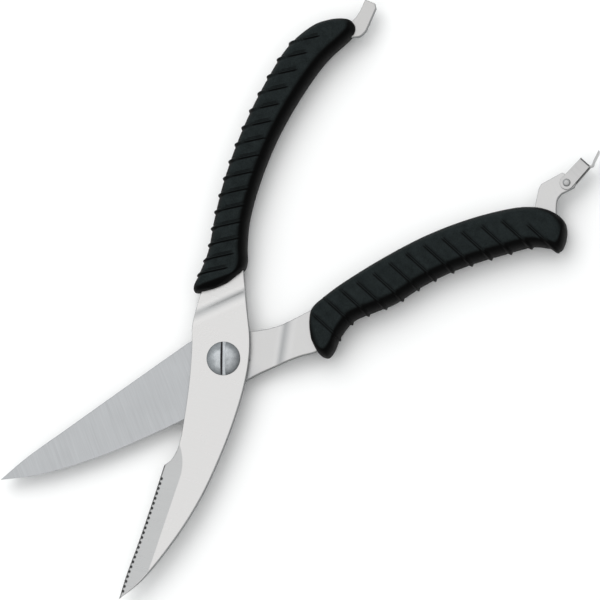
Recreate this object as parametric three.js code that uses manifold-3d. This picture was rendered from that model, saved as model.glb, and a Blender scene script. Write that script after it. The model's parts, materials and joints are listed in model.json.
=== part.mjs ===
// Poultry shears with moulded grips, a serrated blade, a plain blade and a swinging handle latch.
// Millimetres, +Z up. The origin is on the pivot axis, on the flat back of the pivot nut. +Y runs
// from the pivot to the handle ends, midway between the two halves, which lie open at rest.
// Each half is drawn in its own closed pose (+Y to the handles, pivot at the origin) and then
// turned about the pivot by half of the opening angle.

import * as THREE from 'three';
import { mergeVertices } from 'three/addons/utils/BufferGeometryUtils.js';
import Module from 'manifold-3d';

const wasm = await Module();
wasm.setup();

// ---------------------------------------------------------------- driving dimensions

const HALF_OPENING = THREE.MathUtils.degToRad(18.9);

const SHEET = 3.4;                  // thickness of both blades and of their tangs
const FACE_GAP = 0.1;               // between the two blades' inner faces
const STACK_GAP = 0.05;             // between a blade and the screw head or the nut flange

const NUT_FLANGE_R = 6.2;
const NUT_FLANGE_T = 1.5;
const NUT_BARREL_R = 4.0;
const NUT_BORE_R = 2.65;
const PIVOT_CLEARANCE = 0.08;       // radial, barrel in blade
const SCREW_HEAD_R = 6.6;
const SCREW_RIM = 0.35;
const SCREW_DOME = 1.75;
const SCREW_SHANK_R = 2.5;
const SLOT_WIDTH = 1.8;
const SLOT_DEPTH = 1.3;
const SLOT_ANGLE = THREE.MathUtils.degToRad(132.4);

const WIRE = 1.3;                   // torsion spring between the blades
const COIL_R = 6.0;
const COIL_PITCH = 1.4;
const COIL_START = THREE.MathUtils.degToRad(250);
const SPRING_LEG = 7.0;
const POCKET_R = 7.2;
const POCKET_DEPTH = 1.6;
const LEG_SLOT = 1.8;

const JOGGLE_INNER_R = 1.0;         // bend radius inside each joggle
const JOGGLE_DROP = (SHEET + FACE_GAP) / 2;

const GRIP_T = 14.4;
const GRIP_CORNER = [4.0, 6.0];     // radii of a grip's rounded sides, across and upwards
const GRIP_END_R = 4.0;             // rounding towards a grip's front and end
const TANG_CLEARANCE = 0.3;
const RIB_WIDTH = 1.2;
const RIB_HEIGHT = 0.5;

const RIVET_AT = [4.6, 150.3];
const RIVET_SHANK_R = 1.0;
const RIVET_HEAD_R = 1.5;
const RIVET_HEAD_T = 0.8;
const LATCH_ANGLE = THREE.MathUtils.degToRad(19);
const LATCH_SHEET = 0.7;
const LATCH_HALF_WIDTH = 2.65;
const LATCH_REACH = 11.1;           // rivet to the outer face of the end bridge
const LATCH_SIDE_GAP = 0.15;        // between a latch plate and the arm

// Heights of the stack, from the nut's back upwards.
const REAR_Z = NUT_FLANGE_T + STACK_GAP;
const MID_Z = REAR_Z + SHEET + FACE_GAP / 2;
const FRONT_Z = MID_Z + FACE_GAP / 2;
const TANG_Z = MID_Z - SHEET / 2;
const HEAD_Z = FRONT_Z + SHEET + STACK_GAP;

// Spine, edge and tang of the serrated half. A list is one smooth stretch; the next starts at its end.
const SERRATED_OUTLINE = [
  [[-6.4, 151.3], [-6.4, 146.5]],
  [[-6.4, 146.5], [-7.2, 142.6], [-10.5, 138], [-16.8, 131.5], [-22, 122], [-25.3, 106], [-26.5, 86],
    [-25.2, 65], [-22.2, 49], [-19.6, 36], [-19, 27], [-18.8, 18], [-16.6, 7], [-13.6, 0], [-8.9, -13],
    [-4.6, -27.8], [-2.6, -36], [-2.3, -40], [-3.1, -44.4], [-4.9, -47.3]],
  [[-4.9, -47.3], [-3.25, -63.5], [-1.9, -79], [-1, -93], [0.1, -102.2]],
  [[0.1, -102.2], [5.6, -91.9], [11.2, -71.5], [13.8, -54.2], [14.3, -38.7], [13.7, -23.2], [11.9, -7.8],
    [9.4, 3], [6.2, 11.3], [2, 18.8], [-3.1, 27.6], [-7.3, 34.9]],
  [[-7.3, 34.9], [-11.4, 38], [-14.2, 46], [-16.6, 56], [-18.6, 68], [-19.4, 84], [-18.2, 103],
    [-14.4, 120], [-9.5, 131], [-5.8, 135.2], [-2.4, 137.2], [-1.1, 140]],
  [[-1.1, 140], [-1.1, 149.8], [-2.2, 151.3], [-6.4, 151.3]],
];
const SERRATED_SHARP = 5;           // this stretch is straight between its points

// The same for the plain half, whose tang ends in the latch arm.
const PLAIN_OUTLINE = [
  [[0.1, 150.6], [0.1, 141.4]],
  [[0.1, 141.4], [1, 139.9], [4.6, 136.7], [7.2, 134.2], [8.1, 131.5], [6.6, 127], [3.1, 116],
    [0.6, 103.5], [-0.8, 91.5], [-1.2, 80], [-0.9, 68], [0, 56], [1.4, 46], [-0.3, 39.9]],
  [[-0.3, 39.9], [-0.6, 31.3], [-1.6, 23.5], [-4.7, 14.3], [-10, 6], [-12.6, -2], [-12.7, -9.8]],
  [[-12.7, -9.8], [-9.6, -37.6], [-6.4, -65.3], [-3.8, -87.2], [-1.2, -99.6]],
  [[-1.2, -99.6], [4.4, -85.2], [9.7, -60.9], [12.2, -36.1], [13, -20], [12.2, -5], [11.3, 4], [11.9, 15.4],
    [13.5, 27], [14.9, 33], [14, 39], [10.4, 45], [8.4, 52], [8.9, 61], [9.5, 70], [9.1, 81], [9.3, 91.5],
    [10.8, 102.5], [13.3, 114.5], [16.4, 127], [17, 134], [15.4, 139.4], [11.4, 141.8], [8.4, 144],
    [7.3, 146.4]],
  [[7.3, 146.4], [7.5, 151.9], [6.2, 153.4], [1.2, 151.4], [0.1, 150.6]],
];
const PLAIN_SHARP = 5;

// A joggle's crease: the foot of its low bend, and the direction from the blade to the tang.
const SERRATED_CREASE = { at: [-11.8, 19.95], towards: [-0.774, 0.634], tangIsLow: true };
const PLAIN_CREASE = { at: [5.85, 22.5], towards: [0.59, 0.807], tangIsLow: false };

// Chords across each grip from its front to its end: left point, then right point.
const SERRATED_GRIP = [
  [[-15.6, 23], [-13.4, 25.1]], [[-18.6, 20.8], [-10.8, 28]], [[-21.3, 19.5], [-8.9, 31.5]],
  [[-22.5, 21.3], [-7, 35.8]], [[-22.5, 25.5], [-7.4, 38.8]], [[-22.9, 36], [-9.6, 43.5]],
  [[-25.8, 48.7], [-12.9, 53]], [[-28.6, 65], [-15.3, 67.5]], [[-30, 86], [-16.1, 86.5]],
  [[-29.2, 106], [-14.3, 106]], [[-26.4, 123.5], [-10.7, 123]], [[-20.8, 134.2], [-5.7, 134.6]],
  [[-16.7, 138], [-4.8, 137.6]], [[-12.9, 140.4], [-5.6, 140]], [[-10.2, 141.3], [-7.8, 141.4]],
];
const PLAIN_GRIP = [
  [[9, 33.9], [11.6, 33.5]], [[5.4, 35.2], [15.2, 33.4]], [[2.2, 37], [17.9, 34.2]],
  [[-0.4, 39.2], [19.4, 36]], [[-1.5, 41.6], [18.2, 39.2]], [[-2.3, 45.6], [14.6, 43.8]],
  [[-3.3, 52], [11.5, 51.5]], [[-4, 61], [12.3, 60.5]], [[-4.4, 69.5], [13.3, 69]],
  [[-4.5, 82], [12.5, 81.5]], [[-4.1, 91.5], [12.8, 91.5]], [[-2.7, 103.5], [14.3, 102.5]],
  [[-0.2, 116], [16.9, 114.5]], [[3.4, 128], [20.2, 127]], [[5.6, 132.7], [23.6, 131.9]],
  [[8.2, 136.6], [26.8, 135.2]], [[11.6, 139.8], [25, 138.3]], [[15, 141.7], [21.5, 141.1]],
  [[17.2, 142.2], [18.8, 142.1]],
];

// Finger ribs: the first one's height up the grip, how the spacing grows, and how each one runs.
const SERRATED_RIBS = {
  count: 15, first: 26.7, pitch: 6.02, growth: 0.075, side: -1, angle: 33, length: 11.5,
};
const PLAIN_RIBS = {
  count: 13, first: 43.4, pitch: 7.0, growth: 0.045, side: 1, angle: 199, length: 13.5,
};

// The grind of the serrated edge: a flat bevel that runs out on a round shoulder at the bone notch.
const BEVEL_WIDTH = 7.7;
const EDGE_LAND = 0.5;              // height left at the cutting edge
const BEVEL_START = [-16.3, -51.4]; // centre of the round shoulder
const SHOULDER_R = 12;
const EDGE_TILT = Math.atan2(5, 54.9);
const GULLETS = { count: 24, first: 5.3, pitch: 2.02, r: 0.5, inset: 0.15 };

// The plain edge is one long arc, ground on the blade's rear face.
const PLAIN_EDGE_R = 220;
const PLAIN_EDGE_CENTRE = [-206.4, -43.5];
const PLAIN_BEVEL = 6.5;

// ---------------------------------------------------------------- helpers

const v2 = ([x, y]) => new THREE.Vector2(x, y);

function smoothCurve(points) {
  const line = points.map(([x, y]) => new THREE.Vector3(x, y, 0));
  return new THREE.CatmullRomCurve3(line, false, 'centripetal');
}

// Points along one smooth stretch, without its last point, which the next stretch starts with.
function stretchPoints(points, step) {
  if (points.length === 2) return [v2(points[0])];
  const curve = smoothCurve(points);
  const count = Math.max(points.length - 1, Math.round(curve.getLength() / step));
  return curve.getSpacedPoints(count).slice(0, -1).map((p) => new THREE.Vector2(p.x, p.y));
}

function outline(stretches, sharp, step = 3) {
  return stretches.flatMap((points, i) => {
    if (i === sharp) return points.slice(0, -1).map(v2);
    return stretchPoints(points, step);
  });
}

// The outline moved outwards everywhere by a distance.
function grow(points, distance) {
  const outwards = THREE.ShapeUtils.area(points) > 0 ? 1 : -1;
  const normal = (from, to) => {
    const along = to.clone().sub(from).normalize();
    return new THREE.Vector2(along.y, -along.x).multiplyScalar(outwards);
  };
  return points.map((point, i) => {
    const before = points.at(i - 1);
    const after = points[(i + 1) % points.length];
    const a = normal(before, point);
    const b = normal(point, after);
    const stretch = Math.min(2, 1 / Math.max(0.1, (1 + a.dot(b)) / 2));
    return point.clone().addScaledVector(a.add(b).multiplyScalar(0.5), distance * stretch);
  });
}

function solid(geometry) {
  const bare = geometry.clone();
  bare.deleteAttribute('normal');
  bare.deleteAttribute('uv');
  const merged = mergeVertices(bare, 1e-4);
  const mesh = new wasm.Mesh({
    numProp: 3,
    vertProperties: Float32Array.from(merged.attributes.position.array),
    triVerts: Uint32Array.from(merged.index.array),
  });
  return new wasm.Manifold(mesh);
}

function geometryOf(body) {
  const mesh = body.getMesh();
  const geometry = new THREE.BufferGeometry();
  geometry.setAttribute('position', new THREE.BufferAttribute(mesh.vertProperties, 3));
  geometry.setIndex(new THREE.BufferAttribute(mesh.triVerts, 1));
  geometry.computeVertexNormals();
  return geometry;
}

function prism(points, low, high) {
  const shape = new THREE.Shape(points);
  const geometry = new THREE.ExtrudeGeometry(shape, { depth: high - low, bevelEnabled: false });
  return solid(geometry.translate(0, 0, low));
}

function round(r, low, high, segments = 40) {
  const geometry = new THREE.CylinderGeometry(r, r, high - low, segments);
  return solid(geometry.rotateX(Math.PI / 2).translate(0, 0, (low + high) / 2));
}

function turned(profile, segments = 40) {
  return solid(new THREE.LatheGeometry(profile.map(v2), segments).rotateX(Math.PI / 2));
}

// A bar that starts at a point and runs level at an angle in degrees, centred on its own width.
function bar(from, angle, length, width, low, high) {
  const geometry = new THREE.BoxGeometry(length, width, high - low);
  geometry.translate(length / 2, 0, (low + high) / 2);
  geometry.rotateZ(THREE.MathUtils.degToRad(angle)).translate(from[0], from[1], 0);
  return solid(geometry);
}

function arc(centre, r, start, end, steps) {
  return Array.from({ length: steps + 1 }, (_, i) => {
    const angle = THREE.MathUtils.degToRad(start + ((end - start) * i) / steps);
    return [centre[0] + r * Math.cos(angle), centre[1] + r * Math.sin(angle)];
  });
}

// ---------------------------------------------------------------- blades

// Side view of a sheet with a double bend: distance along the crease direction, then height.
function joggleProfile(tangIsLow, bladeZ) {
  const reach = 260;
  const outer = JOGGLE_INNER_R + SHEET;
  const middle = JOGGLE_INNER_R + SHEET / 2;
  const bend = THREE.MathUtils.radToDeg(Math.acos(1 - JOGGLE_DROP / (2 * middle)));
  const run = 2 * middle * Math.sin(THREE.MathUtils.degToRad(bend));
  const lowZ = tangIsLow ? TANG_Z : bladeZ;
  const highZ = lowZ + JOGGLE_DROP;
  const highBend = [-run, highZ - JOGGLE_INNER_R];
  const lowBend = [0, lowZ + SHEET + JOGGLE_INNER_R];
  const profile = [
    [-reach, highZ],
    ...arc(highBend, JOGGLE_INNER_R, 90, 90 - bend, 3),
    ...arc(lowBend, outer, 270 - bend, 270, 5),
    [reach, lowZ],
    [reach, lowZ + SHEET],
    ...arc(lowBend, JOGGLE_INNER_R, 270, 270 - bend, 3),
    ...arc(highBend, outer, 90 - bend, 90, 5),
    [-reach, highZ + SHEET],
  ];
  return tangIsLow ? profile : profile.map(([along, z]) => [-along, z]);
}

// A blade and its tang: the flat outline, kept only inside the bent sheet.
function joggledBlade(points, crease, bladeZ) {
  const profile = new THREE.Shape(joggleProfile(crease.tangIsLow, bladeZ).map(v2));
  const sheet = new THREE.ExtrudeGeometry(profile, { depth: 400, bevelEnabled: false }).translate(0, 0, -200);
  const along = new THREE.Vector3(...crease.towards, 0).normalize();
  const up = new THREE.Vector3(0, 0, 1);
  const across = along.clone().cross(up);
  sheet.applyMatrix4(new THREE.Matrix4().makeBasis(along, up, across)).translate(...crease.at, 0);
  return prism(points, REAR_Z - 5, HEAD_Z + 5).intersect(solid(sheet));
}

// Bevel plane along the serrated edge, with a cone for the shoulder where the grind runs out.
function serratedGrind() {
  const edgeZ = FRONT_Z + EDGE_LAND;
  const slope = (SHEET - EDGE_LAND) / BEVEL_WIDTH;
  const past = BEVEL_WIDTH + 1.5;
  const topZ = edgeZ + slope * past;
  const clear = 8;
  const wedge = new THREE.Shape([[-clear, edgeZ], [0, edgeZ], [past, topZ], [-clear, topZ]].map(v2));
  const flat = new THREE.ExtrudeGeometry(wedge, { depth: 70, bevelEnabled: false });
  flat.rotateX(Math.PI / 2).translate(SHOULDER_R, 0, 0).rotateZ(EDGE_TILT);
  flat.translate(...BEVEL_START, 0);
  const shoulder = turned([[0, edgeZ], [SHOULDER_R, edgeZ], [SHOULDER_R + past, topZ], [0, topZ]], 60);
  return solid(flat).add(shoulder.translate([...BEVEL_START, 0]));
}

// Small half-round gullets along the serrated edge.
function gullets() {
  const edge = smoothCurve(SERRATED_OUTLINE[2]);
  const length = edge.getLength();
  return Array.from({ length: GULLETS.count }, (_, i) => {
    const at = edge.getPointAt((GULLETS.first + i * GULLETS.pitch) / length);
    return round(GULLETS.r, FRONT_Z - 1, FRONT_Z + 4, 8).translate([at.x + GULLETS.inset, at.y, 0]);
  }).reduce((all, one) => all.add(one));
}

// Round pocket for the coil and a slot for one leg, in a blade's inner face.
function springPocket(low, high, legStart, legAngle) {
  return round(POCKET_R, low, high, 36).add(bar(legStart, legAngle, SPRING_LEG + 0.6, LEG_SLOT, low, high));
}

function serratedBlade() {
  const points = outline(SERRATED_OUTLINE, SERRATED_SHARP);
  const leg = coilEnd(COIL_START, -1, -HALF_OPENING);
  return joggledBlade(points, SERRATED_CREASE, FRONT_Z)
    .subtract(serratedGrind())
    .subtract(gullets())
    .subtract(round(NUT_BARREL_R + PIVOT_CLEARANCE, 0, 20, 48))
    .subtract(springPocket(FRONT_Z - 1, FRONT_Z + POCKET_DEPTH, leg.at, leg.angle));
}

function plainGrind() {
  const inner = PLAIN_EDGE_R - PLAIN_BEVEL;
  const outer = PLAIN_EDGE_R + 4;
  const top = REAR_Z + SHEET - EDGE_LAND;
  const outerTop = top + ((top - REAR_Z) / PLAIN_BEVEL) * 4;
  const bottom = REAR_Z - 3;
  const section = [[inner, REAR_Z], [inner, bottom], [outer, bottom], [outer, outerTop], [inner, REAR_Z]];
  const ring = turned(section, 480);
  const blade = bar([0, -20], 270, 90, 60, bottom - 1, top + 5);
  return ring.translate([...PLAIN_EDGE_CENTRE, 0]).intersect(blade);
}

function plainBlade() {
  const points = outline(PLAIN_OUTLINE, PLAIN_SHARP);
  const leg = coilEnd(coilEndAngle(), 1, HALF_OPENING);
  return joggledBlade(points, PLAIN_CREASE, REAR_Z)
    .subtract(plainGrind())
    .subtract(round(NUT_BARREL_R + PIVOT_CLEARANCE, 0, 20, 48))
    .subtract(round(RIVET_SHANK_R + 0.05, 0, 20, 24).translate([...RIVET_AT, 0]))
    .subtract(springPocket(REAR_Z + SHEET - POCKET_DEPTH, REAR_Z + SHEET + 1, leg.at, leg.angle));
}

// ---------------------------------------------------------------- pivot

function pivotNut() {
  const chamfer = 0.4;
  const top = HEAD_Z - 0.15;
  return turned([
    [0, 0],
    [NUT_FLANGE_R - chamfer, 0],
    [NUT_FLANGE_R, chamfer],
    [NUT_FLANGE_R, NUT_FLANGE_T],
    [NUT_BARREL_R, NUT_FLANGE_T],
    [NUT_BARREL_R, top],
    [NUT_BORE_R, top],
    [NUT_BORE_R, NUT_FLANGE_T],
    [0, NUT_FLANGE_T],
  ], 48);
}

function pivotScrew() {
  const rimZ = HEAD_Z + SCREW_RIM;
  const domeR = (SCREW_HEAD_R ** 2 + SCREW_DOME ** 2) / (2 * SCREW_DOME);
  const sweep = THREE.MathUtils.radToDeg(Math.asin(SCREW_HEAD_R / domeR));
  const dome = arc([0, rimZ + SCREW_DOME - domeR], domeR, 90 - sweep, 90, 5).slice(0, -1);
  const tipZ = NUT_FLANGE_T + 0.6;
  const body = turned([
    [0, tipZ],
    [SCREW_SHANK_R - 0.5, tipZ],
    [SCREW_SHANK_R, tipZ + 0.5],
    [SCREW_SHANK_R, HEAD_Z],
    [SCREW_HEAD_R, HEAD_Z],
    ...dome,
    [0, rimZ + SCREW_DOME],
  ]);
  const floorZ = rimZ + SCREW_DOME - SLOT_DEPTH;
  const slotAngle = THREE.MathUtils.radToDeg(SLOT_ANGLE);
  const slot = bar([0, 0], slotAngle, 2 * SCREW_HEAD_R, SLOT_WIDTH, floorZ, floorZ + 6);
  const otherSlot = bar([0, 0], slotAngle + 180, 2 * SCREW_HEAD_R, SLOT_WIDTH, floorZ, floorZ + 6);
  return body.subtract(slot).subtract(otherSlot);
}

// The coil turns from its front leg down to its rear leg, counter-clockwise seen from the front.
function coilTurns() {
  const rise = FACE_GAP + 2 * POCKET_DEPTH - WIRE - 0.2;
  return rise / COIL_PITCH;
}

function coilEndAngle() {
  return COIL_START + coilTurns() * 2 * Math.PI;
}

// Where a leg leaves the coil and its heading in degrees, seen in a half's own closed pose.
function coilEnd(angle, sense, turn) {
  const local = angle + turn;
  const heading = local + (sense * Math.PI) / 2;
  return {
    at: [COIL_R * Math.cos(local), COIL_R * Math.sin(local)],
    angle: THREE.MathUtils.radToDeg(heading),
  };
}

class SpringWire extends THREE.Curve {
  getPoint(t) {
    const coil = coilTurns() * 2 * Math.PI;
    const total = COIL_R * coil + 2 * SPRING_LEG;
    const along = t * total - SPRING_LEG;
    const turn = THREE.MathUtils.clamp(along / COIL_R, 0, coil);
    const straight = along - turn * COIL_R;
    const angle = COIL_START + turn;
    const drop = (turn / (2 * Math.PI)) * COIL_PITCH;
    const topZ = MID_Z + (coilTurns() * COIL_PITCH) / 2;
    return new THREE.Vector3(
      COIL_R * Math.cos(angle) - straight * Math.sin(angle),
      COIL_R * Math.sin(angle) + straight * Math.cos(angle),
      topZ - drop,
    );
  }
}

function pivotSpring() {
  const section = new THREE.Shape(arc([0, 0], WIRE / 2, 0, 315, 7).map(v2));
  const sweep = { steps: 60, extrudePath: new SpringWire(), bevelEnabled: false };
  return solid(new THREE.ExtrudeGeometry(section, sweep));
}

// ---------------------------------------------------------------- grips

function centreOf(ring) {
  return ring.reduce((sum, p) => sum.add(p), new THREE.Vector3()).divideScalar(ring.length);
}

// Closed skin over rings that all have the same number of points.
function loft(rings) {
  const count = rings[0].length;
  const centres = [centreOf(rings[0]), centreOf(rings.at(-1))];
  const positions = [...rings.flat(), ...centres].flatMap((p) => [p.x, p.y, p.z]);
  const index = [];
  const last = (rings.length - 1) * count;
  const centre = rings.length * count;
  for (let i = 0; i < count; i++) {
    const next = (i + 1) % count;
    for (let row = 0; row < last; row += count) {
      index.push(row + i, row + count + next, row + next);
      index.push(row + i, row + count + i, row + count + next);
    }
    index.push(centre, i, next, centre + 1, last + next, last + i);
  }
  const geometry = new THREE.BufferGeometry();
  geometry.setAttribute('position', new THREE.Float32BufferAttribute(positions, 3));
  geometry.setIndex(index);
  return solid(geometry);
}

// Rounded section of a grip over one chord; its height falls away near the grip's two ends.
function gripRing(left, right, fromEnd, extra) {
  const across = right.clone().sub(left).normalize();
  const middle = left.clone().add(right).multiplyScalar(0.5);
  const halfWidth = left.distanceTo(right) / 2 + extra;
  const short = GRIP_END_R - Math.min(fromEnd, GRIP_END_R);
  const halfHeight = GRIP_T / 2 + extra - GRIP_END_R + Math.sqrt(GRIP_END_R ** 2 - short ** 2);
  const rx = Math.min(GRIP_CORNER[0], halfWidth * 0.9);
  const rz = Math.min(GRIP_CORNER[1], halfHeight * 0.9);
  const corners = [[1, 1, 0], [-1, 1, 90], [-1, -1, 180], [1, -1, 270]];
  return corners.flatMap(([sx, sz, start]) => arc([0, 0], 1, start, start + 90, 2).map(([x, z]) => {
    const out = sx * (halfWidth - rx) + x * rx;
    const up = sz * (halfHeight - rz) + z * rz;
    return middle.clone().addScaledVector(across, out).setZ(MID_Z + up);
  }));
}

function gripBody(chords, extra = 0) {
  const stations = 28;
  const left = smoothCurve(chords.map((chord) => chord[0]));
  const right = smoothCurve(chords.map((chord) => chord[1]));
  const middleAt = (t) => left.getPoint(t).add(right.getPoint(t)).multiplyScalar(0.5);
  const rings = Array.from({ length: stations + 1 }, (_, i) => {
    const t = i / stations;
    const fromEnd = Math.min(middleAt(t).distanceTo(middleAt(0)), middleAt(t).distanceTo(middleAt(1)));
    return gripRing(left.getPoint(t), right.getPoint(t), fromEnd, extra);
  });
  return loft(rings);
}

// Raised ribs that start on the grip's outer side and fade out across both of its flat panels.
function gripRibs(chords, ribs) {
  const outer = smoothCurve(chords.map((chord) => chord[ribs.side < 0 ? 0 : 1])).getPoints(400);
  const bars = Array.from({ length: ribs.count }, (_, i) => {
    const y = ribs.first + ribs.pitch * i + ribs.growth * i * i;
    const at = outer.reduce((best, p) => (Math.abs(p.y - y) < Math.abs(best.y - y) ? p : best));
    const back = THREE.MathUtils.degToRad(ribs.angle);
    const from = [at.x - 2 * Math.cos(back), at.y - 2 * Math.sin(back)];
    return bar(from, ribs.angle, ribs.length + 2, RIB_WIDTH, MID_Z - GRIP_T, MID_Z + GRIP_T);
  });
  return bars.reduce((all, one) => all.add(one)).intersect(gripBody(chords, RIB_HEIGHT));
}

function grip(chords, ribs, bladeOutline) {
  const room = grow(bladeOutline, TANG_CLEARANCE);
  const cavity = prism(room, TANG_Z - TANG_CLEARANCE, TANG_Z + SHEET + TANG_CLEARANCE);
  return gripBody(chords).add(gripRibs(chords, ribs)).subtract(cavity);
}

function serratedGrip() {
  return grip(SERRATED_GRIP, SERRATED_RIBS, outline(SERRATED_OUTLINE, SERRATED_SHARP));
}

function plainGrip() {
  return grip(PLAIN_GRIP, PLAIN_RIBS, outline(PLAIN_OUTLINE, PLAIN_SHARP));
}

// ---------------------------------------------------------------- latch

// A level strip of sheet seen from above, thickened about its centre line.
function stripOutline(points, thickness) {
  const line = points.map(v2);
  const side = (sign) => line.map((point, i) => {
    const before = line[Math.max(i - 1, 0)];
    const after = line[Math.min(i + 1, line.length - 1)];
    const along = after.clone().sub(before).normalize();
    return point.clone().add(new THREE.Vector2(-along.y, along.x).multiplyScalar((sign * thickness) / 2));
  });
  return [...side(1), ...side(-1).reverse()];
}

// Stirrup: two plates either side of the arm, an end bridge that joins them, and the thumb lever.
function latch() {
  const low = TANG_Z - LATCH_SIDE_GAP - LATCH_SHEET;
  const high = TANG_Z + SHEET + LATCH_SIDE_GAP + LATCH_SHEET;
  const w = LATCH_HALF_WIDTH;
  const plate = [...arc([0, 0], w, 180, 360, 14), [w, LATCH_REACH], [-w, LATCH_REACH]].map(v2);
  const bridgeY = LATCH_REACH - LATCH_SHEET / 2;
  const bend = arc([1.75, bridgeY + 1], 1, 270, 375, 6);
  const strip = stripOutline([[-w, bridgeY], ...bend, [2.05, 13.6], [1.3, 16], [0.75, 18.1]], LATCH_SHEET);
  return prism(plate, low, low + LATCH_SHEET)
    .add(prism(plate, high - LATCH_SHEET, high))
    .add(prism(strip, low, high))
    .subtract(round(RIVET_SHANK_R + PIVOT_CLEARANCE, 0, 20, 32));
}

function latchRivet() {
  const low = TANG_Z - LATCH_SIDE_GAP - LATCH_SHEET - STACK_GAP;
  const high = TANG_Z + SHEET + LATCH_SIDE_GAP + LATCH_SHEET + STACK_GAP;
  const r = RIVET_HEAD_R;
  const dome = [[r, 0.2], [r * 0.87, 0.5], [r * 0.5, 0.74]];
  return turned([
    [0, low - RIVET_HEAD_T],
    ...dome.map(([x, z]) => [x, low - z]).reverse(),
    [r, low],
    [RIVET_SHANK_R, low],
    [RIVET_SHANK_R, high],
    [r, high],
    ...dome.map(([x, z]) => [x, high + z]),
    [0, high + RIVET_HEAD_T],
  ], 20);
}

// ---------------------------------------------------------------- assembly

const finish = {
  satin: () => new THREE.MeshStandardMaterial({ color: 0xd8d9d6, roughness: 0.34, metalness: 1 }),
  polished: () => new THREE.MeshStandardMaterial({ color: 0xb4b8ba, roughness: 0.2, metalness: 1 }),
  rubber: () => new THREE.MeshStandardMaterial({ color: 0x17191a, roughness: 0.7, metalness: 0 }),
};

function piece(name, body, material) {
  const mesh = new THREE.Mesh(geometryOf(body), material);
  mesh.name = name;
  return mesh;
}

const shears = new THREE.Group();
const serratedHalf = new THREE.Group();
const plainHalf = new THREE.Group();
const latchPlace = new THREE.Group();
serratedHalf.rotation.z = HALF_OPENING;
plainHalf.rotation.z = -HALF_OPENING;
latchPlace.position.set(...RIVET_AT, 0);
latchPlace.rotation.z = LATCH_ANGLE;
shears.add(serratedHalf, plainHalf);
plainHalf.add(latchPlace);

serratedHalf.add(piece('serrated_blade', serratedBlade(), finish.satin()));
serratedHalf.add(piece('serrated_grip', serratedGrip(), finish.rubber()));
plainHalf.add(piece('plain_blade', plainBlade(), finish.satin()));
plainHalf.add(piece('plain_grip', plainGrip(), finish.rubber()));
latchPlace.add(piece('latch', latch(), finish.polished()));
latchPlace.add(piece('latch_rivet', latchRivet(), finish.polished()));
shears.add(piece('pivot_screw', pivotScrew(), finish.polished()));
shears.add(piece('pivot_nut', pivotNut(), finish.polished()));
shears.add(piece('pivot_spring', pivotSpring(), finish.polished()));

export default shears;
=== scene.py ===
"""Poultry shears: fine meshes, materials, floor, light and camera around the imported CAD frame.

Shapes are drawn in millimetres: each half in its own closed pose, with the pivot at the origin and
+Y towards the handles, and then turned about the pivot into its open place.
"""

import json
import math

import bmesh
import bpy
import numpy as np
from mathutils import Matrix, Vector, geometry


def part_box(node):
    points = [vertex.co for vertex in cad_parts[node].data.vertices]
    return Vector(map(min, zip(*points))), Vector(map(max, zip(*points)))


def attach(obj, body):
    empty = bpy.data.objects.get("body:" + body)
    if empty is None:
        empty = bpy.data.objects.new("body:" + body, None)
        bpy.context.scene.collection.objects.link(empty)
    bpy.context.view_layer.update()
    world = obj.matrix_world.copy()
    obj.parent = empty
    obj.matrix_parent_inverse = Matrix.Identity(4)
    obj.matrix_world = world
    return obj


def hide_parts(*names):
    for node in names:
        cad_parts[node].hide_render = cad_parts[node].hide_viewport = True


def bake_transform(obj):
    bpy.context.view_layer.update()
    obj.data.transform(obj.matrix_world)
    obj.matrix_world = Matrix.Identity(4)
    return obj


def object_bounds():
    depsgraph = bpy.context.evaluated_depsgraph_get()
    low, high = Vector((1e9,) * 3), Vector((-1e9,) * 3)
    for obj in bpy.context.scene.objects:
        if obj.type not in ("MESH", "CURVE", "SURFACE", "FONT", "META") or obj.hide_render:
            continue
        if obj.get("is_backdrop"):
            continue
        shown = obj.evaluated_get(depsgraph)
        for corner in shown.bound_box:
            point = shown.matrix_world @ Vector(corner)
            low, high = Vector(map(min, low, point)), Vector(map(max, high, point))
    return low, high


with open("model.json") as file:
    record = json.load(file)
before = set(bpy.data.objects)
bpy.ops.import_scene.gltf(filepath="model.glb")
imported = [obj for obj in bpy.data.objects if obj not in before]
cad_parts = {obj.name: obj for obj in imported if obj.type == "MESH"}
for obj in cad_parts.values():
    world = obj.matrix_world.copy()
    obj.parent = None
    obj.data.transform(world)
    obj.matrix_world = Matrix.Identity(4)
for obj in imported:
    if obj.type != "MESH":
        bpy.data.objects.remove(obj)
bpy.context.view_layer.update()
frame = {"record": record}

MM = 0.001
UP = np.array([0.0, 0.0, 1.0])

# ---------------------------------------------------------------- dimensions, in millimetres

SHEET = 3.4  # thickness of both blades and of their tangs
POCKET_R = 7.2  # round pocket for the spring coil in each blade's inner face
POCKET_DEPTH = 1.6
LEG_SLOT = 1.8  # width of the slot for a leg of the spring
LEG_ROOM = 0.6  # the slot is this much longer than the leg
SPRING_LEG = 7.0
WIRE = 1.3
COIL_R = 6.0
COIL_PITCH = 1.4
COIL_START = math.radians(250)
BARREL_R = 4.0  # the nut's barrel, which the blades turn on
BARREL_HOLE_R = 4.08
NUT_BORE_R = 2.65
SCREW_DOME = 1.75
SCREW_RIM = 0.35
SCREW_SHANK_R = 2.5
SLOT_WIDTH = 1.8
SLOT_DEPTH = 1.75
SLOT_ANGLE = math.radians(132.4)
SLOT_SHADE = -0.2  # the painted shadow along one side of the slot starts this far off its middle
JOGGLE_INNER_R = 7.5
JOGGLE_DROP = 1.75
RIVET_AT = (4.6, 150.3)
RIVET_SHANK_R = 1.0
LATCH_ANGLE = math.radians(19)
LATCH_SHEET = 0.7
BRIDGE_SHEET = 0.55  # the latch thins towards the tip of its lever
LEVER_SHEET = 0.48
LATCH_HALF_WIDTH = 2.7  # at the rivet
LATCH_END_HALF_WIDTH = 2.45
LATCH_REACH = 10.95  # from the rivet to the far face of the end bridge
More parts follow.
